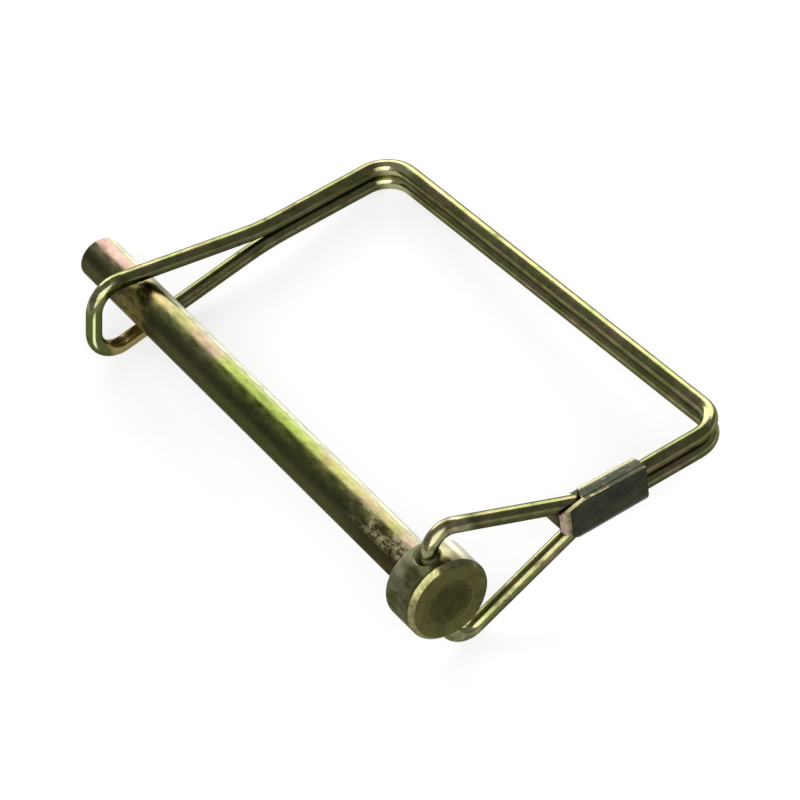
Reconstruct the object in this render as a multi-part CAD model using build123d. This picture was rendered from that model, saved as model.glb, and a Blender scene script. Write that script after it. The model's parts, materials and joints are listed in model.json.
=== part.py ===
from build123d import *
import os

# Wire lock pin: a headed pin whose spring-wire bail turns in the head and hooks over the tip.
# The pin is laid out along X, with the cross-hole's axis on Z and the bail towards +Y.
# At the end the whole part is turned to lie as it rests, on the three lowest bends of the wire.

# Pin: plain shank, headed at one end
shank_diameter = 6.35
shank_length = 83.9
tip_chamfer = 0.6
head_diameter = 12.4
head_length = 6.3
face_chamfer = 0.7
shoulder_rounding = 0.5
root_chamfer = 0.5
face_ring_diameter = 7.2
face_ring_width = 0.5
face_ring_depth = 0.06

# Wire, and the cross-hole through the head that carries both of its ends
wire_diameter = 2.3
hole_clearance = 0.55
hole_from_shoulder = 2.7
hole_mouth_chamfer = 0.25
end_gap = 0.8
end_ahead = 0.2
end_aside = 0.4

# Square frame that the doubled wire is bent into
run_gap = 0.12
leg_ahead_of_hole = 1.2
loop_from_tip = 12.6
frame_depth = 47.2
frame_corner_radius = 4.5
frame_swing = 3.6
frame_droop = -5.5

# Head side: the runs part to straddle the head and turn into the cross-hole
head_split_depth = 24.1
head_split_radius = 6.0
upper_bend_lift = 3.35
lower_bend_lift = 4.45
head_bend_radius = 3.1

# Tip side: the runs part again and close in a loop round the shank
tip_split_depth = 25.0
tip_split_radius = 38.0
upper_loop_lift = 2.425
lower_loop_lift = 1.125
upper_loop_reach = 2.375
lower_loop_reach = 5.475
upper_loop_radius = 4.1
lower_loop_radius = 3.8

# Sleeve: a sheet strip folded round both runs of the leg beside the head
sheet_thickness = 0.65
sleeve_clearance = 0.06
sleeve_slack = 0.35
sleeve_length = 10.3
sleeve_past_split = 1.5
mouth_spread = 0.35
roof_skew = 1.4
seam_width = 0.15
front_tongue_length = 3.4
front_tongue_above = 2.7
front_tongue_below = 0.85
lip_length = 1.0
lip_drop = 0.5
back_tongue_upper_length = 4.85
back_tongue_lower_length = 2.3
back_tongue_above = 2.2
back_tongue_below = 2.3

# How far a cutting shape runs past what it cuts
overrun = 1.0

# Places along the pin, from the cross-hole's axis
shoulder_x = -hole_from_shoulder
face_x = head_length - hole_from_shoulder
tip_x = shoulder_x - shank_length
tip_leg = tip_x + loop_from_tip

# Radii, and the height of each run's centre line over the frame's middle plane
shank_radius = shank_diameter / 2
head_radius = head_diameter / 2
wire_radius = wire_diameter / 2
run_height = wire_radius + run_gap / 2

# The frame's own plane: swung about the cross-hole, then drooping about the pin's axis
frame_place = Rot(X=frame_droop) * Rot(Z=frame_swing)


def on_frame(ahead, depth, height):
    """A point given along the frame's own axes."""
    return (frame_place * Pos(ahead, depth, height)).position


def make_pin():
    """The pin: one turned profile, drilled across the head."""
    ring_radius = face_ring_diameter / 2
    ring_half = face_ring_width / 2
    outline = Polyline(
        (tip_x, 0),
        (tip_x, shank_radius - tip_chamfer),
        (tip_x + tip_chamfer, shank_radius),
        (shoulder_x - root_chamfer, shank_radius),
        (shoulder_x, shank_radius + root_chamfer),
        (shoulder_x, head_radius),
        (face_x - face_chamfer, head_radius),
        (face_x, head_radius - face_chamfer),
        (face_x, ring_radius + ring_half),
        (face_x - face_ring_depth, ring_radius),
        (face_x, ring_radius - ring_half),
        (face_x, 0),
        close=True,
    )
    profile = make_face(outline)
    rim = profile.vertices().sort_by_distance((shoulder_x, head_radius))[0]
    pin = revolve(fillet(rim, shoulder_rounding), Axis.X)
    pin -= Cylinder(wire_radius + hole_clearance, head_diameter + overrun)
    hole_wall = pin.faces().filter_by(GeomType.CYLINDER).sort_by(lambda face: face.radius)[0]
    mouths = hole_wall.edges().filter_by(GeomType.LINE, reverse=True)
    return chamfer(mouths, hole_mouth_chamfer)


def wire_line():
    """The wire's centre line, from its upper end in the cross-hole round to its lower end."""
    over_head = head_radius + wire_radius
    over_shank = shank_radius + wire_radius
    upper = [
        Vector(end_ahead, end_aside, end_gap / 2),
        Vector(0, 0, over_head + upper_bend_lift),
        on_frame(leg_ahead_of_hole, head_split_depth, run_height),
        on_frame(leg_ahead_of_hole, frame_depth, run_height),
        on_frame(tip_leg, frame_depth, run_height),
        on_frame(tip_leg, tip_split_depth, run_height),
        Vector(tip_leg, -over_shank - upper_loop_reach, over_shank + upper_loop_lift),
    ]
    lower = [
        Vector(tip_leg, -over_shank - lower_loop_reach, -over_shank - lower_loop_lift),
        on_frame(tip_leg, tip_split_depth, -run_height),
        on_frame(tip_leg, frame_depth, -run_height),
        on_frame(leg_ahead_of_hole, frame_depth, -run_height),
        on_frame(leg_ahead_of_hole, head_split_depth, -run_height),
        Vector(0, 0, -over_head - lower_bend_lift),
        Vector(end_ahead, end_aside, -end_gap / 2),
    ]
    frame_radii = [frame_corner_radius, frame_corner_radius]
    upper_radii = [head_bend_radius, head_split_radius] + frame_radii + [tip_split_radius, upper_loop_radius]
    lower_radii = [lower_loop_radius, tip_split_radius] + frame_radii + [head_split_radius, head_bend_radius]
    return FilletPolyline(*upper, *lower, radius=upper_radii + lower_radii)


def make_wire(line, radius):
    """Round wire along a centre line."""
    section = Plane(origin=line @ 0, z_dir=line % 0) * Circle(radius)
    return sweep(section, path=line)


def strip_section(depth, half_width, lift):
    """The strip's outline at one depth: round below and at the back, square at the front's upper edge."""
    half_turn, quarter_turn = 180, 90
    bend_height = run_height + lift
    lower_height = -run_height - sleeve_slack
    top = bend_height + half_width
    front = Polyline((0, top), (half_width, top), (half_width, lower_height))
    below = CenterArc((0, lower_height), half_width, half_turn, half_turn)
    back = Line((-half_width, lower_height), (-half_width, bend_height))
    fold = CenterArc((0, bend_height), half_width, quarter_turn, quarter_turn)
    plane = Plane(origin=(leg_ahead_of_hole, depth, 0), x_dir=(1, 0, 0), z_dir=(0, -1, 0))
    return plane * make_face([front, below, back, fold])


def wall_cut(outline, width):
    """A prism that trims one wall of the sleeve; its outline is in depth and height."""
    plane = Plane(origin=(leg_ahead_of_hole, 0, 0), x_dir=(0, 1, 0), z_dir=(1, 0, 0))
    return extrude(plane * make_face(Polyline(*outline, close=True)), width)


def make_sleeve(line):
    """The sleeve: a folded strip whose front and back end in tongues between the parted runs."""
    inner = wire_radius + sleeve_clearance
    outer = inner + sheet_thickness
    near_end = head_split_depth - sleeve_past_split
    far_end = near_end + sleeve_length
    start = near_end - max(front_tongue_length, back_tongue_upper_length, back_tongue_lower_length)
    start_lift = mouth_spread * (far_end - start) / sleeve_length

    # The strip, spread at its mouth by the rising run
    skin = loft([strip_section(start, outer, start_lift), strip_section(far_end, outer, 0)], ruled=True)
    space = loft([strip_section(start, inner, start_lift), strip_section(far_end, inner, 0)], ruled=True)
    sleeve = skin - space

    # The front wall's end, bent in as a lip
    top = run_height + mouth_spread + outer
    bottom = -run_height - sleeve_slack - outer
    before = start - overrun
    tongue_end = near_end - front_tongue_length
    lip_start = tongue_end + lip_length
    past_lip = Pos(leg_ahead_of_hole, lip_start, 0)
    lip_align = (Align.MIN, Align.MAX, Align.CENTER)
    sleeve -= past_lip * Box(outer + overrun, lip_start - before, top - bottom + overrun, align=lip_align)
    lip_outline = Polyline(
        (leg_ahead_of_hole + outer, lip_start),
        (leg_ahead_of_hole + inner, lip_start),
        (leg_ahead_of_hole + inner - lip_drop, tongue_end),
        (leg_ahead_of_hole + outer - lip_drop, tongue_end),
        close=True,
    )
    sleeve += extrude(Pos(0, 0, bottom) * make_face(lip_outline), top - bottom)

    # Front and back walls, trimmed to tongues
    front_space = [
        (before, bottom - overrun),
        (near_end, bottom - overrun),
        (near_end, bottom),
        (tongue_end, -front_tongue_below),
        (tongue_end, front_tongue_above),
        (near_end, top),
        (near_end, top + overrun),
        (before, top + overrun),
    ]
    back_space = [
        (before, bottom - overrun),
        (near_end, bottom - overrun),
        (near_end, bottom),
        (near_end - back_tongue_lower_length, -back_tongue_below),
        (near_end - back_tongue_upper_length, back_tongue_above),
        (before, back_tongue_above),
    ]
    sleeve -= wall_cut(front_space, outer + overrun)
    sleeve -= wall_cut(back_space, -outer - overrun)

    # Roof, cut back on a skew over the back tongue, with a seam beside the front wall
    roof_outline = Polyline(
        (leg_ahead_of_hole + inner, before),
        (leg_ahead_of_hole + inner, near_end),
        (leg_ahead_of_hole - outer, near_end + roof_skew),
        (leg_ahead_of_hole - outer - overrun, near_end + roof_skew),
        (leg_ahead_of_hole - outer - overrun, before),
        close=True,
    )
    over_tongue = Pos(0, 0, back_tongue_above) * make_face(roof_outline)
    sleeve -= extrude(over_tongue, top + overrun - back_tongue_above)
    seam_place = Pos(leg_ahead_of_hole + inner, before, run_height)
    seam_length = far_end + overrun - before
    seam_align = (Align.MAX, Align.MIN, Align.MIN)
    sleeve -= seam_place * Box(seam_width, seam_length, top + overrun - run_height, align=seam_align)
    return frame_place * sleeve - make_wire(line, wire_radius + sleeve_clearance / 2)


def lowest_point(bend, up):
    """The lowest point of a bend's centre line, which is the one nearest to the bottom of its circle."""
    normal = bend.normal()
    down = (normal * normal.dot(up) - up).normalized()
    bottom = bend.arc_center + down * bend.radius
    return bend.closest_points(bottom)[0]


def resting_plane(line):
    """The plane that touches the wire's three lowest bends from below."""
    bends = line.edges().filter_by(GeomType.CIRCLE)
    lower_bends = bends[len(bends) // 2:]
    loop_bend, _, tip_corner, _, _, head_bend = lower_bends
    up = Vector(0, 0, 1)
    # One round for each bend is ample for the plane to settle
    for _ in bends:
        loop = lowest_point(loop_bend, up)
        corner = lowest_point(tip_corner, up)
        head = lowest_point(head_bend, up)
        up = (loop - corner).cross(head - corner).normalized()
    along = Vector(1, 0, 0) - up * up.X
    return Plane(origin=head - up * wire_radius, x_dir=along, z_dir=up)


centre_line = wire_line()
floor = resting_plane(centre_line)
pieces = {
    "lock_pin": make_pin(),
    "wire_bail": make_wire(centre_line, wire_radius),
    "clamp_sleeve": make_sleeve(centre_line),
}
pieces = {name: floor.to_local_coords(piece) for name, piece in pieces.items()}
box = Compound([*pieces.values()]).bounding_box()
to_origin = Pos(-box.center().X, -box.center().Y, 0)

os.makedirs("parts", exist_ok=True)
for name, piece in pieces.items():
    export_step(to_origin * piece, f"parts/{name}.step")
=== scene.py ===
import json
import math

import bpy
from mathutils import Matrix, Vector

# A yellow-zinc wire lock pin lying on a white floor, seen from above its head.

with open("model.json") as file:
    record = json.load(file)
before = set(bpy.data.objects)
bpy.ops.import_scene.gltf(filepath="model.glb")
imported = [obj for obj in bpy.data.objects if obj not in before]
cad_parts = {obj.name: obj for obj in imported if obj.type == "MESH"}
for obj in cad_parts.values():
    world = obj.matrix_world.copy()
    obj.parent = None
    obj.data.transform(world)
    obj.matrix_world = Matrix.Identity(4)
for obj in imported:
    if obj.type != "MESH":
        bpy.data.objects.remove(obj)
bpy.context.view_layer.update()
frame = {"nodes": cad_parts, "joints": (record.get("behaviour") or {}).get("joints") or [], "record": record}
MM = 0.001

# The pin's own axes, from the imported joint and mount: X to the head, Y to the bail, Z up the cross-hole
hinge = frame["joints"][0]
mounts = {mount["name"]: mount for mount in frame["record"]["mounts"]}
pin_ahead = -Vector(mounts["shank"]["axis"])
pin_up = -Vector(hinge["axis"])
pin_side = pin_up.cross(pin_ahead)
pin_axes = Matrix((pin_ahead, pin_side, pin_up)).transposed()
pin_place = Matrix.Translation(Vector(hinge["pos_m"])) @ pin_axes.to_4x4()

# The bail's own axes: swung about the cross-hole and drooping about the pin
droop_angle = math.radians(-5.5)
swing_angle = math.radians(3.6)
bail_droop = Matrix.Rotation(droop_angle, 4, "X")
bail_swing = Matrix.Rotation(swing_angle, 4, "Z")
bail_place = pin_place @ bail_droop @ bail_swing
bail_axes = bail_place.to_3x3()
bail_ahead = bail_axes @ Vector((1, 0, 0))
bail_side = bail_axes @ Vector((0, 1, 0))
bail_up = bail_axes @ Vector((0, 0, 1))

# Camera, given round the pin's own axes
view_azimuth = math.radians(-23.16)
view_elevation = math.radians(43.44)
view_roll = math.radians(-14.34)
view_distance = 900.76 * MM
view_focal_px = 6890.9
image_px = 800
sensor_width = 36.0
aim_point = Vector((-15.10, 8.18, 18.06)) * MM

# Places on the pin in mm: its shoulder, face and bevel, where the loop bears, the radii of head
# and cross-hole, and where the dust and the brown stain by the head begin and are full
shoulder_at = -2.7
face_at = 3.6
bevel_width = 0.7
bevel_at = face_at - bevel_width
loop_at = -72.5
head_radius = 6.2
hole_radius = 1.7
dust_from = -20.0
dust_full = -13.0
stain_full = -9.0

# Places on the bail in mm: its far side and two legs, how far its loop and corners reach along the pin,
# and the sleeve's mouth, lip and front flap; and the turn of the painted highlight line on the loop's end
far_side_at = 43.5
tip_leg_at = -72.0
head_leg_at = 1.2
loop_from = tip_leg_at + 12.0
loop_full = tip_leg_at + 8.0
corner_from = 5.5
corner_full = 2.0
mouth_at = 22.6
lip_at = 20.2
flap_at = 2.35
highlight_line_turn = math.radians(-33)

# Colours of the yellow zinc plate, of what lies on it, and of the sleeve's sheet;
# plate_edge tints what the plate mirrors at a flat angle
zinc_green = (0.088, 0.110, 0.026)
zinc_olive = (0.103, 0.106, 0.035)
zinc_gold = (0.120, 0.105, 0.042)
zinc_peach = (0.132, 0.103, 0.058)
zinc_pink = (0.140, 0.100, 0.078)
zinc_rose = (0.172, 0.112, 0.096)
zinc_shade_dull = (0.066, 0.064, 0.031)
zinc_highlight = (0.300, 0.295, 0.185)
zinc_highlight_strip = (0.780, 0.770, 0.600)
zinc_worn = (0.235, 0.230, 0.140)
bevel_worn_highlight = (0.320, 0.300, 0.140)
zinc_face = (0.058, 0.056, 0.019)
hole_dull_lit = (0.200, 0.190, 0.075)
zinc_loop_reflection = (0.250, 0.200, 0.070)
wire_green = (0.155, 0.172, 0.060)
wire_olive = (0.185, 0.182, 0.080)
wire_gold = (0.212, 0.188, 0.095)
wire_pink = (0.230, 0.186, 0.130)
wire_rubbed_glint = (0.480, 0.470, 0.260)
wire_highlight_line = (0.900, 0.950, 0.520)
wire_reflected_gold = (0.400, 0.300, 0.120)
plate_edge = (0.50, 0.50, 0.45, 1.0)
grime_dark = (0.052, 0.047, 0.018)
grime_brown = (0.042, 0.032, 0.011)
grime_pale = (0.330, 0.300, 0.165)
sheet_dark = (0.016, 0.017, 0.010)
sheet_olive = (0.036, 0.037, 0.018)
sheet_edge_and_highlight = (0.480, 0.450, 0.210)
sheet_lip = (0.480, 0.330, 0.290)
sheet_inside_lit = (0.075, 0.062, 0.030)

# Tints of the plate from the pin's tip to its head, at places in mm, and how far they wander
tints_along_pin = (
    (-86.0, zinc_rose),
    (-80.0, zinc_rose),
    (-74.0, zinc_gold),
    (-69.0, zinc_peach),
    (-66.0, zinc_olive),
    (-60.0, zinc_peach),
    (-56.5, zinc_pink),
    (-52.5, zinc_olive),
    (-48.0, zinc_green),
    (-32.0, zinc_green),
    (-26.0, zinc_gold),
    (-22.0, zinc_olive),
    (-16.5, zinc_peach),
    (-10.5, zinc_olive),
    (-7.0, zinc_pink),
    (3.0, zinc_gold),
)
tint_wander = 14.0

# Bump: how deep it counts, and how strong it is on plate, sheet and floor
bump_depth = 0.05 * MM
plate_bump = 0.35
sheet_bump = 0.40
floor_bump = 0.05

# Shading runs between these two levels of a noise or mask
shade_from = 0.25
shade_to = 0.75

# Floor: half its side in metres, the grain of its paper, and the share of it that shows as plain white
floor_half = 6.0
paper_grain = 900.0
paper_low = (0.94, 0.94, 0.94)
paper_high = (0.96, 0.96, 0.96)
floor_white = 0.66

# Sockets of the mixing nodes, which share their names
MIX_NUMBERS = (2, 3)
MIX_NUMBER_OUT = 0
MIX_COLORS = (6, 7)
MIX_COLOR_OUT = 2
MIX_SHADERS = (1, 2)


class Shader:
    """Adds and links the nodes of one material."""

    def __init__(self, name):
        self.material = bpy.data.materials.new(name)
        self.material.use_nodes = True
        self.tree = self.material.node_tree
        self.surface = self.tree.nodes["Principled BSDF"]

    def set(self, socket, value):
        """Links an output to a socket, or sets the socket's own value."""
        if isinstance(value, bpy.types.NodeSocket):
            self.tree.links.new(value, socket)
        else:
            socket.default_value = value

    def add(self, kind, inputs=None, **settings):
        """A node of that kind; inputs are plain values or other nodes' outputs."""
        node = self.tree.nodes.new("ShaderNode" + kind)
        for name, value in settings.items():
            setattr(node, name, value)
        for name, value in (inputs or {}).items():
            self.set(node.inputs[name], value)
        return node

    def places(self, place):
        """Coordinates in mm along the axes of a place on the part, moving with it."""
        here = self.add("TexCoord").outputs["Object"]
        inputs = {
            "Vector": here,
            "Location": place.to_translation(),
            "Rotation": place.to_euler(),
            "Scale": (MM, MM, MM),
        }
        return self.add("Mapping", inputs, vector_type="TEXTURE").outputs["Vector"]

    def facing(self, axis):
        """How far the surface faces along an axis of the part."""
        normal = self.add("TexCoord").outputs["Normal"]
        return self.add("VectorMath", {0: normal, 1: axis}, operation="DOT_PRODUCT").outputs["Value"]

    def axes(self, vector):
        """The three coordinates of a vector."""
        return self.add("SeparateXYZ", {"Vector": vector}).outputs

    def noise(self, vector, pitch, shift=0.0, detail=3.0, rough=0.5, bend=0.0):
        """Noise from 0 to 1 whose blotches measure about pitch mm along each axis."""
        scale = tuple(1.0 / length for length in pitch)
        inputs = {"Vector": vector, "Scale": scale, "Location": (shift, shift, shift)}
        moved = self.add("Mapping", inputs).outputs["Vector"]
        inputs = {
            "Vector": moved,
            "Scale": 1.0,
            "Detail": detail,
            "Roughness": rough,
            "Distortion": bend,
        }
        return self.add("TexNoise", inputs).outputs["Fac"]

    def span(self, value, low, high, start=0.0, end=1.0):
        """A smooth step from start to end as the value goes from low to high."""
        inputs = {"Value": value, "From Min": low, "From Max": high, "To Min": start, "To Max": end}
        return self.add("MapRange", inputs, interpolation_type="SMOOTHSTEP").outputs["Result"]

    def math(self, operation, *values):
        """One step of arithmetic."""
        node = self.add("Math", operation=operation)
        for socket, value in zip(node.inputs, values):
            self.set(socket, value)
        return node.outputs["Value"]

    def both(self, *masks):
        """Where all of the masks hold."""
        joined = masks[0]
        for mask in masks[1:]:
            joined = self.math("MULTIPLY", joined, mask)
        return joined

    def ramp(self, value, stops):
        """Colours along a value, as pairs of place and colour."""
        node = self.add("ValToRGB", {"Fac": value})
        elements = node.color_ramp.elements
        while len(elements) < len(stops):
            elements.new(1.0)
        for element, (place, color) in zip(elements, stops):
            element.position = place
            element.color = (*color, 1.0)
        return node.outputs["Color"]

    def raised(self, value, mask, amount):
        """A value raised by an amount where the mask is high."""
        return self.math("MULTIPLY_ADD", mask, amount, value)

    def blend(self, mask, first, second):
        """The first value, and the second where the mask is high."""
        node = self.add("Mix", {"Factor": mask}, data_type="FLOAT")
        for index, value in zip(MIX_NUMBERS, (first, second)):
            self.set(node.inputs[index], value)
        return node.outputs[MIX_NUMBER_OUT]

    def cover(self, color, mask, layer, share=1.0):
        """A colour covered by a share of another where the mask is high."""
        if share < 1.0:
            mask = self.math("MULTIPLY", mask, share)
        if not isinstance(layer, bpy.types.NodeSocket):
            layer = (*layer, 1.0)
        node = self.add("Mix", {"Factor": mask}, data_type="RGBA")
        for index, value in zip(MIX_COLORS, (color, layer)):
            self.set(node.inputs[index], value)
        return node.outputs[MIX_COLOR_OUT]

    def shade(self, color, value, low, high):
        """A colour made darker or paler by a value from 0 to 1."""
        level = self.span(value, shade_from, shade_to, low, high)
        return self.add("VectorMath", {0: color, "Scale": level}, operation="SCALE").outputs["Vector"]

    def shade_over(self, color, value, low, high, darkest, palest):
        """A colour shaded from darkest to palest as a value goes from low to high."""
        return self.shade(color, self.span(value, low, high, shade_from, shade_to), darkest, palest)

    def finish(self, color, roughness, height, bump, **plain):
        """Joins colour, roughness and bump to the surface, with plain values for the rest."""
        self.set(self.surface.inputs["Base Color"], color)
        self.set(self.surface.inputs["Roughness"], roughness)
        inputs = {"Height": height, "Strength": bump, "Distance": bump_depth}
        self.set(self.surface.inputs["Normal"], self.add("Bump", inputs).outputs["Normal"])
        for name, value in plain.items():
            self.set(self.surface.inputs[name.replace("_", " ")], value)
        return self.material


# In the materials, a span over a place is in mm along the axes of the pin or the bail, a span over a facing
# is in cosines, and a span over a noise is in its own range of 0 to 1


def veins(shader, here, pitch, shift, width):
    """Thin crooked lines, as dried grime leaves round its patches."""
    edge = shader.noise(here, pitch, shift, detail=6.0, rough=0.68, bend=0.9)
    away = shader.math("ABSOLUTE", shader.math("SUBTRACT", edge, 0.5))
    return shader.span(away, width, 0.0)


def hole_mask(shader, along, aside, up):
    """Where the surface lies inside the cross-hole."""
    across = shader.add("CombineXYZ", {"X": along, "Y": aside}).outputs["Vector"]
    reach = shader.add("VectorMath", {0: across}, operation="LENGTH").outputs["Value"]
    height = shader.math("ABSOLUTE", up)
    within = shader.span(reach, hole_radius + 0.3, hole_radius + 0.05)
    below_rim = shader.span(height, head_radius + 0.3, head_radius - 0.6)
    return shader.both(within, below_rim)


def pin_material():
    """Glossy plate on the turned pin, with grime by the head, a dull face, a worn bevel, and painted
    highlights, shade and reflection.
    """
    shader = Shader("pin_plating")
    here = shader.places(pin_place)
    along, aside, up = shader.axes(here)
    around = shader.add("CombineXYZ", {"Y": aside, "Z": up}).outputs["Vector"]
    radius = shader.add("VectorMath", {0: around}, operation="LENGTH").outputs["Value"]

    # Plate: tints that wander along the pin, plainer on the side away from the bail
    blotch = shader.noise(here, (5.0, 3.0, 3.0), 3.7, detail=3.0, rough=0.55, bend=0.4)
    wander = shader.math("MULTIPLY_ADD", blotch, tint_wander, -tint_wander / 2)
    first, last = tints_along_pin[0][0], tints_along_pin[-1][0]
    reach = last - first
    drift = shader.math("MULTIPLY_ADD", shader.math("ADD", along, wander), 1 / reach, -first / reach)
    color = shader.ramp(drift, [((place - first) / reach, tint) for place, tint in tints_along_pin])
    color = shader.cover(color, shader.span(aside, 0.8, -1.4, 0.0, 0.66), zinc_green)
    mottle = shader.noise(here, (2.2, 1.3, 1.3), 8.1, detail=5.0, rough=0.6)
    color = shader.shade(color, mottle, 0.72, 1.28)

    # Painted shade: darker plate on the flank away from the bail. Painted highlight: paler, duller plate on
    # the flank towards it, with a paler painted highlight strip along the upper side of that flank, fainter
    # by the loop
    on_head = shader.span(radius, head_radius - 0.5, head_radius - 0.2)
    shaded_head_flank = shader.both(on_head, shader.span(aside, -6.2, -4.0))
    shaded_outer_flank = shader.math("MAXIMUM", shader.span(aside, -2.6, -1.0), shaded_head_flank)
    color = shader.shade_over(color, shaded_outer_flank, 0.0, 1.0, 0.62, 1.0)
    # Painted shade: darker, duller plate on the side away from the bail
    dull_shaded_side = shader.both(shader.span(aside, 0.0, -2.2), shader.span(on_head, 0.0, 1.0, 1.0, 0.4))
    color = shader.cover(color, dull_shaded_side, zinc_shade_dull, share=0.7)
    # Painted highlight: pale plate on the flank towards the bail
    highlight_flank = shader.span(aside, 1.5, 2.5)
    inner_cover = shader.span(on_head, 0.0, 1.0, 0.55, 0.45)
    color = shader.cover(color, shader.both(highlight_flank, inner_cover), zinc_highlight)
    to_bail = shader.facing(pin_side)
    # Painted highlight: a little pale plate where the surface faces the bail
    color = shader.cover(color, shader.span(to_bail, 0.28, 0.55, 0.0, 0.3), zinc_highlight)
    # Painted highlight: a paler strip along the upper side of that flank, fainter by the loop
    highlight_strip = shader.both(shader.span(to_bail, 0.52, 0.64), shader.span(shader.facing(pin_up), 0.30, 0.42))
    off_band = shader.math("ABSOLUTE", shader.math("SUBTRACT", along, loop_at))
    highlight_strip = shader.both(highlight_strip, shader.span(off_band, 3.0, 7.5, 0.25, 0.85))
    color = shader.cover(color, highlight_strip, zinc_highlight_strip)

    # Sheen that changes in patches, fine scratches along the pin and small dull spots
    sheen = shader.noise(here, (2.8, 1.2, 1.2), 12.6, detail=5.0, rough=0.65)
    scratch = shader.noise(here, (6.0, 0.25, 0.25), 1.3, detail=2.0)
    speck = shader.span(shader.noise(here, (0.8, 0.4, 0.4), 5.9, detail=4.0, rough=0.6), 0.68, 0.78)
    roughness = shader.span(sheen, 0.34, 0.66, 0.10, 0.24)
    roughness = shader.raised(roughness, scratch, 0.05)
    roughness = shader.raised(roughness, highlight_flank, 0.25)
    roughness = shader.raised(roughness, dull_shaded_side, 0.18)
    roughness = shader.raised(roughness, speck, 0.12)
    color = shader.cover(color, speck, zinc_worn, share=0.25)

    # Golden band where the bail's loop bears on the shank: a painted reflection of the loop's wire, on
    # duller rubbed plate
    loop_reflection_band = shader.both(shader.span(off_band, 5.0, 2.0), shader.span(aside, 1.6, 0.0))
    loop_reflection_band = shader.both(loop_reflection_band, shader.span(mottle, 0.35, 0.60))
    color = shader.cover(color, loop_reflection_band, zinc_loop_reflection, share=0.8)
    roughness = shader.raised(roughness, loop_reflection_band, 0.12)

    # Grime by the head, over a brown stain on the shank, with pale oxide veins and specks
    by_head = shader.span(along, dust_from, dust_full)
    off_bail = shader.span(aside, 1.5, -0.6)
    off_face = shader.span(along, bevel_at, bevel_at - 0.8)
    patch = shader.span(shader.noise(here, (4.2, 2.4, 2.4), 2.4, detail=5.0, rough=0.62), 0.36, 0.56)
    grime = shader.both(by_head, off_bail, off_face, patch)
    color = shader.cover(color, grime, grime_dark, share=0.3)
    stain = shader.both(shader.span(along, dust_from, stain_full), shader.span(aside, 0.6, -1.2, 0.0, 0.6))
    stain = shader.both(stain, shader.span(radius, head_radius - 1.5, head_radius - 2.5))
    color = shader.cover(color, stain, grime_brown)
    grain = shader.noise(here, (0.9, 0.6, 0.6), 6.6, detail=4.0, rough=0.6)
    oxide = shader.span(grain, 0.44, 0.62, 0.0, 0.8)
    oxide = shader.math("MAXIMUM", oxide, veins(shader, here, (3.6, 2.2, 2.2), 3.9, 0.026))
    off_head = shader.span(along, shoulder_at - 0.5, shoulder_at + 0.3, 1.0, 0.45)
    off_outer_edge = shader.span(to_bail, -0.80, -0.62)
    oxide = shader.both(by_head, off_bail, off_face, patch, oxide, off_head, off_outer_edge)
    color = shader.cover(color, oxide, grime_pale)
    roughness = shader.raised(roughness, grime, 0.22)
    roughness = shader.raised(roughness, oxide, 0.25)

    # Grey haze on the head's side, and rubbed plate between shoulder and cross-hole
    haze = shader.span(shader.noise(here, (2.4, 1.6, 1.6), 5.5, detail=6.0, rough=0.65), 0.40, 0.62)
    away_from_bail = shader.span(to_bail, 0.30, 0.05)
    haze = shader.both(on_head, off_face, haze, away_from_bail)
    color = shader.cover(color, haze, zinc_worn, share=0.5)
    roughness = shader.raised(roughness, haze, 0.16)
    rubbed = shader.span(shader.noise(here, (2.6, 1.8, 1.8), 9.3, detail=4.0), 0.34, 0.52, 0.5, 1.0)
    rubbed = shader.both(on_head, off_face, rubbed, shader.span(up, 2.0, 4.0), away_from_bail)
    rubbed = shader.both(rubbed, shader.span(along, 0.6, -0.8), off_outer_edge)
    color = shader.cover(color, rubbed, zinc_worn, share=0.7)
    roughness = shader.raised(roughness, rubbed, 0.18)
    dusty = shader.math("MAXIMUM", oxide, shader.math("MULTIPLY", rubbed, 0.6))

    # Bevel round the face: worn and paler away from the bail, partly a painted highlight; painted shade
    # towards it
    bevel = shader.span(along, bevel_at - 0.10, bevel_at + 0.06)
    pitted = shader.noise(here, (1.0, 0.7, 0.7), 4.4, detail=5.0, rough=0.65)
    worn_highlight = shader.both(bevel, shader.span(pitted, 0.36, 0.60, 0.35, 1.0))
    worn_highlight = shader.both(worn_highlight, shader.span(to_bail, 0.45, 0.10))
    color = shader.cover(color, worn_highlight, bevel_worn_highlight, share=0.7)
    shaded = shader.both(bevel, shader.span(to_bail, 0.05, 0.40, 0.0, 0.7))
    color = shader.cover(color, shaded, zinc_face)

    # Dull face with faint turning rings
    face = shader.span(along, face_at - 0.10, face_at - 0.03)
    cloud = shader.noise(here, (3.0, 2.2, 2.2), 7.7, detail=4.0)
    dull = shader.shade(shader.ramp(cloud, [(0.35, zinc_face), (0.75, grime_dark)]), mottle, 0.80, 1.20)
    dull = shader.shade_over(dull, radius, 1.0, 5.6, 0.75, 1.60)
    color = shader.cover(color, face, dull)
    turned = shader.math("SINE", shader.math("MULTIPLY", radius, 7.5))
    roughness = shader.raised(roughness, face, 0.16)

    # Dull wall of the cross-hole, paler than the plate as painted light inside the hole
    in_hole = hole_mask(shader, along, aside, up)
    color = shader.cover(color, in_hole, hole_dull_lit)
    roughness = shader.raised(roughness, in_hole, 0.4)
    metal = shader.span(shader.math("MAXIMUM", in_hole, dusty), 0.0, 1.0, 1.0, 0.15)

    # Bump: scratches, pits and turning rings
    height = shader.math("MULTIPLY", mottle, 0.4)
    height = shader.raised(height, scratch, 0.15)
    height = shader.raised(height, shader.both(face, turned), 0.12)
    height = shader.raised(height, shader.both(bevel, pitted), 0.8)
    height = shader.raised(height, grime, 0.5)
    return shader.finish(color, roughness, height, plate_bump, Metallic=metal, Specular_Tint=plate_edge)


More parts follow.
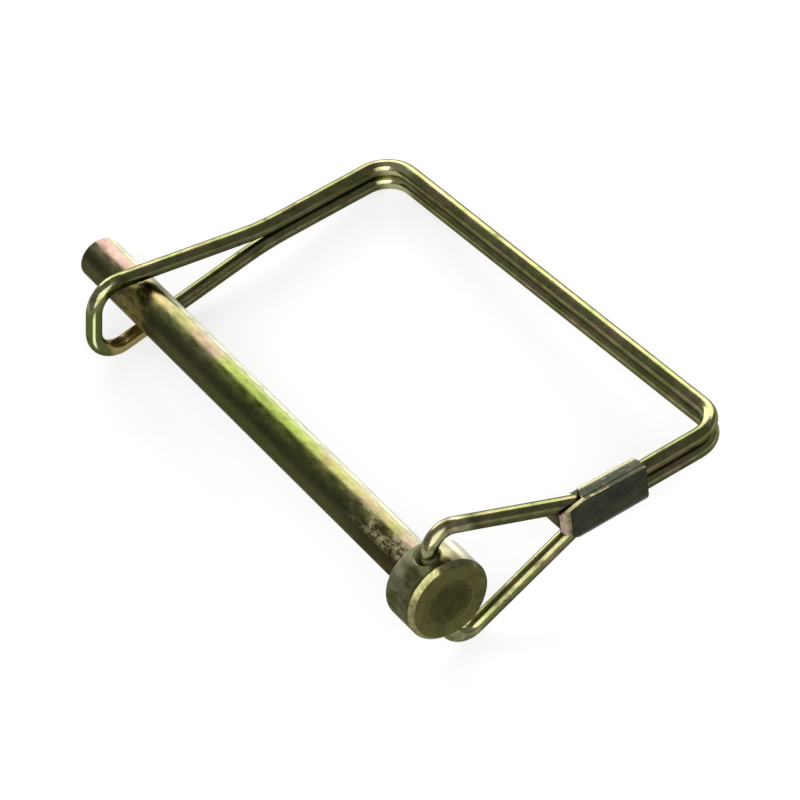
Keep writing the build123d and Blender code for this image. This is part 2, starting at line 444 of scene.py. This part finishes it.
def wire_material():
    """Glossy plate on drawn wire: lines along it, rubbed spots, rubbed bends with painted glints, painted
    highlights, shade and reflection, and dark smears.
    """
    shader = Shader("wire_plating")
    here = shader.places(bail_place)
    along, depth, up = shader.axes(here)
    far_side = shader.span(depth, far_side_at, far_side_at + 2.0)

    # Plate: blotches of tint, and fine lines drawn along the wire
    blotch = shader.noise(here, (6.0, 6.0, 3.0), 11.2, detail=2.0, rough=0.55, bend=0.4)
    stops = [
        (0.32, wire_green),
        (0.48, wire_olive),
        (0.62, wire_gold),
        (0.80, wire_pink),
    ]
    color = shader.ramp(blotch, stops)
    mottle = shader.noise(here, (1.8, 1.8, 1.0), 2.9, detail=4.0)
    color = shader.shade(color, mottle, 0.78, 1.22)
    lines_x = shader.noise(here, (9.0, 0.16, 0.16), 4.2, detail=2.0)
    lines_y = shader.noise(here, (0.16, 9.0, 0.16), 6.8, detail=2.0)
    drawn = shader.blend(far_side, lines_y, lines_x)

    # Dark smears, more of them by the head, and small rubbed spots
    by_head = shader.both(shader.span(depth, 18.0, 8.0), shader.span(along, -8.0, -3.0))
    smear = shader.noise(here, (3.4, 3.4, 1.6), 9.8, detail=5.0, rough=0.62)
    smear = shader.span(shader.raised(smear, by_head, 0.08), 0.56, 0.68)
    color = shader.cover(color, smear, grime_dark, share=0.6)
    rubbed = shader.span(shader.noise(here, (1.6, 1.6, 0.7), 1.6, detail=5.0, rough=0.65), 0.60, 0.70)
    color = shader.cover(color, rubbed, zinc_worn, share=0.45)
    color = shader.shade(color, drawn, 0.93, 1.07)

    # Painted shade: legs and underside darker, apart from the lower run by the head
    lower_run = shader.both(shader.span(up, -1.0, -2.0), shader.span(along, -3.0, -1.0))
    lower_run = shader.both(lower_run, shader.span(depth, 24.0, 21.0))
    lit = shader.math("MAXIMUM", far_side, lower_run)
    color = shader.shade_over(color, lit, 0.0, 1.0, 0.74, 1.0)
    color = shader.shade_over(color, shader.facing(bail_up), -0.1, 0.45, 0.5, 1.0)

    # Rubbed pale plate with painted glints on the frame's two corners and at the bends
    near_tip = shader.span(along, loop_from, loop_full)
    loop_end = shader.both(near_tip, shader.span(depth, 1.2, -0.3))
    tip_corner = shader.span(along, tip_leg_at + corner_from, tip_leg_at + corner_full)
    head_corner = shader.span(along, head_leg_at - corner_from, head_leg_at - corner_full)
    corner = shader.both(far_side, shader.math("MAXIMUM", tip_corner, head_corner))
    inner_side = shader.span(shader.facing(bail_side), 0.3, -0.3)
    rub_and_glint_share = shader.span(along, tip_leg_at + 8.0, head_leg_at - 8.0, 0.75, 0.15)
    color = shader.cover(color, shader.both(corner, inner_side, rub_and_glint_share), wire_rubbed_glint)
    head_bends = shader.both(shader.span(depth, 7.0, 4.0), shader.span(along, -5.0, -3.0))
    loop_bend = shader.both(loop_end, shader.span(up, 2.0, 4.0))
    bends = shader.math("MAXIMUM", head_bends, loop_bend)
    bends = shader.both(bends, shader.span(mottle, 0.30, 0.60, 0.1, 0.4))
    color = shader.cover(color, bends, wire_rubbed_glint)
    # Painted shade: green on the upright sides of the loop's end
    level = shader.math("ABSOLUTE", shader.facing(bail_up))
    upright = shader.both(loop_end, shader.span(level, 0.5, 0.2))
    color = shader.cover(color, upright, zinc_green, share=0.7)
    # Painted highlight: a pale line along one side of the loop's end
    highlight_line_axis = bail_axes @ Vector((math.cos(highlight_line_turn), math.sin(highlight_line_turn), 0))
    highlight_line = shader.both(loop_end, shader.span(shader.facing(highlight_line_axis), 0.974, 0.999))
    color = shader.cover(color, highlight_line, wire_highlight_line, share=0.95)

    # Painted reflection: golden brown on the loop's lower run, which bears under the shank
    loop_foot_reflection = shader.both(near_tip, shader.span(depth, 9.0, 5.0))
    loop_foot_reflection = shader.both(loop_foot_reflection, shader.span(depth, -2.6, -1.4), shader.span(up, -1.5, -2.8))
    color = shader.cover(color, loop_foot_reflection, wire_reflected_gold, share=0.6)

    # Painted highlight: paler and duller plate along the wire's upper back
    to_far_side = shader.span(shader.facing(bail_side), 0.62, 0.85)
    to_tip = shader.span(shader.facing(bail_ahead), -0.45, -0.68)
    upper_back_highlight = shader.math("MAXIMUM", shader.both(far_side, to_far_side), to_tip)
    upper_back_highlight = shader.both(upper_back_highlight, shader.span(corner, 0.0, 1.0, 1.0, 0.2))
    color = shader.cover(color, upper_back_highlight, zinc_highlight, share=0.6)

    # Gloss and bump
    roughness = shader.span(drawn, 0.35, 0.70, 0.14, 0.22)
    roughness = shader.raised(roughness, smear, 0.12)
    roughness = shader.raised(roughness, rubbed, 0.10)
    roughness = shader.raised(roughness, upper_back_highlight, 0.16)
    height = shader.math("MULTIPLY", mottle, 0.3)
    height = shader.raised(height, drawn, 0.12)

    # Dull ends inside the cross-hole, paler than the plate as painted light inside the hole
    in_hole = hole_mask(shader, along, depth, up)
    color = shader.cover(color, in_hole, hole_dull_lit)
    roughness = shader.raised(roughness, in_hole, 0.3)
    metal = shader.span(in_hole, 0.0, 1.0, 1.0, 0.3)
    return shader.finish(color, roughness, height, plate_bump, Metallic=metal, Specular_Tint=plate_edge)


def sleeve_material():
    """Dark satin plate on sheet, with pale cut edges at the mouth and along the seam and a pink lip."""
    shader = Shader("sleeve_plating")
    here = shader.places(bail_place)
    along, depth, _ = shader.axes(here)

    # Sheet: clouds, and streaks along the leg
    cloud = shader.noise(here, (2.2, 3.6, 1.6), 3.3, detail=5.0, rough=0.6)
    color = shader.ramp(cloud, [(0.38, sheet_dark), (0.68, sheet_olive)])
    streak = shader.noise(here, (0.22, 6.0, 0.22), 5.1, detail=3.0)
    color = shader.shade(color, streak, 0.88, 1.14)

    # Cut edges: whatever does not face front or back at the mouth, and the top of the front flap
    sideways = shader.math("ABSOLUTE", shader.facing(bail_ahead))
    mouth = shader.span(depth, mouth_at + 0.4, mouth_at - 0.1)
    mouth = shader.both(mouth, shader.span(sideways, 0.97, 0.80))
    top = shader.span(shader.facing(bail_up), 0.6, 0.9)
    wear = shader.span(shader.noise(here, (0.9, 1.2, 0.9), 8.8, detail=4.0), 0.35, 0.60, 0.4, 1.0)
    broken = shader.span(shader.noise(here, (0.6, 1.8, 0.6), 7.3, detail=4.0), 0.50, 0.66, 0.0, 0.5)
    flap = shader.both(shader.span(along, flap_at, flap_at + 0.6), top, broken)
    edge = shader.math("MAXIMUM", shader.both(mouth, wear), flap)
    color = shader.cover(color, edge, sheet_edge_and_highlight)
    rub = shader.noise(here, (0.22, 2.2, 0.3), 2.2, detail=5.0, rough=0.6)
    rub = shader.span(rub, 0.58, 0.70, 0.0, 0.8)
    rub = shader.both(rub, top, shader.span(along, flap_at, flap_at - 0.3))
    color = shader.cover(color, rub, zinc_worn)
    # Painted highlight along the roof's rounded back corner
    back_corner_highlight = shader.span(shader.facing(bail_ahead), -0.15, -0.45)
    back_corner_highlight = shader.both(back_corner_highlight, shader.span(shader.facing(bail_up), 0.2, 0.5))
    color = shader.cover(color, back_corner_highlight, sheet_edge_and_highlight, share=0.8)

    # Pink band on the bent lip at the tongue's end
    lip = shader.both(shader.span(depth, lip_at - 0.1, lip_at - 0.7), shader.span(along, 1.2, 1.7))
    lip = shader.both(lip, shader.span(shader.noise(here, (0.7, 0.7, 3.0), 6.1), 0.30, 0.60, 0.5, 1.0))
    color = shader.cover(color, lip, sheet_lip, share=0.8)

    # Paler dull brown inside of the back tongue: painted light where the inside lies in shade
    inside = shader.both(shader.span(shader.facing(bail_ahead), 0.6, 0.9), shader.span(along, 0.8, 0.3))
    color = shader.cover(color, inside, sheet_inside_lit)

    # Gloss and bump
    roughness = shader.span(streak, 0.30, 0.72, 0.26, 0.46)
    roughness = shader.raised(roughness, edge, 0.12)
    roughness = shader.raised(roughness, inside, 0.2)
    metal = shader.span(inside, 0.0, 1.0, 1.0, 0.1)
    height = shader.math("MULTIPLY", cloud, 0.4)
    height = shader.raised(height, streak, 0.2)
    return shader.finish(color, roughness, height, sheet_bump, Metallic=metal)


def dress(node, material):
    """Puts a material on a CAD node."""
    mesh = frame["nodes"][node].data
    mesh.materials.clear()
    mesh.materials.append(material)


def whiten(shader, share):
    """Shows that share of a surface as plain white to the camera and in reflections.

    The rest of it keeps the shadows.
    """
    path = shader.add("LightPath").outputs
    seen = shader.math("MAXIMUM", path["Is Camera Ray"], path["Is Glossy Ray"])
    seen = shader.math("MAXIMUM", seen, path["Is Transmission Ray"])
    white = shader.add("Emission", {"Color": (1.0, 1.0, 1.0, 1.0), "Strength": 1.0}).outputs["Emission"]
    mix = shader.add("MixShader", {"Fac": shader.math("MULTIPLY", seen, share)})
    for index, layer in zip(MIX_SHADERS, (shader.surface.outputs["BSDF"], white)):
        shader.set(mix.inputs[index], layer)
    shader.set(shader.tree.nodes["Material Output"].inputs["Surface"], mix.outputs["Shader"])


def make_floor():
    """A plain white floor at the level that the part lies on."""
    mesh = bpy.data.meshes.new("floor")
    low, high = -floor_half, floor_half
    corners = [(low, low, 0), (high, low, 0), (high, high, 0), (low, high, 0)]
    mesh.from_pydata(corners, [], [(0, 1, 2, 3)])
    floor = bpy.data.objects.new("floor", mesh)
    bpy.context.scene.collection.objects.link(floor)
    shader = Shader("floor_white")
    here = shader.add("TexCoord").outputs["Object"]
    paper = shader.add("TexNoise", {"Vector": here, "Scale": paper_grain, "Detail": 3.0}).outputs["Fac"]
    color = shader.ramp(paper, [(0.2, paper_low), (0.8, paper_high)])
    roughness = shader.span(paper, 0.2, 0.8, 0.85, 0.95)
    mesh.materials.append(shader.finish(color, roughness, paper, floor_bump, Specular_IOR_Level=0.1))
    whiten(shader, floor_white)


def make_softbox(name, azimuth, elevation, distance, width, height, radiance):
    """A rectangular lamp facing the part from a direction given round the row's axes, in degrees."""
    lamp = bpy.data.lights.new(name, "AREA")
    lamp.shape = "RECTANGLE"
    lamp.size = width
    lamp.size_y = height
    lamp.energy = radiance * math.pi * width * height
    turn = math.radians(azimuth)
    rise = math.radians(elevation)
    towards = Vector((math.cos(turn) * math.cos(rise), math.sin(turn) * math.cos(rise), math.sin(rise)))
    box = bpy.data.objects.new(name, lamp)
    box.location = towards * distance
    box.rotation_mode = "QUATERNION"
    box.rotation_quaternion = (-towards).to_track_quat("-Z", "Y")
    bpy.context.scene.collection.objects.link(box)


def make_world(level):
    """Plain grey light from all round."""
    world = bpy.data.worlds.new("studio")
    world.use_nodes = True
    background = world.node_tree.nodes["Background"]
    background.inputs["Color"].default_value = (level, level, level, 1.0)
    background.inputs["Strength"].default_value = 1.0
    bpy.context.scene.world = world


def make_camera():
    """The camera, from its direction round the pin."""
    back = Vector((
        math.cos(view_azimuth) * math.cos(view_elevation),
        math.sin(view_azimuth) * math.cos(view_elevation),
        math.sin(view_elevation),
    ))
    data = bpy.data.cameras.new("camera")
    data.sensor_width = sensor_width
    data.lens = view_focal_px * sensor_width / image_px
    data.clip_end = 10.0
    camera = bpy.data.objects.new("camera", data)
    turn = (-back).to_track_quat("-Z", "Y").to_matrix() @ Matrix.Rotation(view_roll, 3, "Z")
    place = Matrix.Translation(aim_point + back * view_distance) @ turn.to_4x4()
    camera.matrix_world = pin_place @ place
    bpy.context.scene.collection.objects.link(camera)
    bpy.context.scene.camera = camera


dress("lock_pin", pin_material())
dress("wire_bail", wire_material())
dress("clamp_sleeve", sleeve_material())
make_floor()
make_softbox(
    "back_softbox",
    azimuth=148,
    elevation=20,
    distance=0.95,
    width=1.5,
    height=0.66,
    radiance=5.6,
)
make_softbox(
    "front_softbox",
    azimuth=-28,
    elevation=34,
    distance=1.0,
    width=1.05,
    height=1.0,
    radiance=3.8,
)
make_world(level=0.34)
make_camera()
bpy.context.scene.view_settings.view_transform = "Standard"
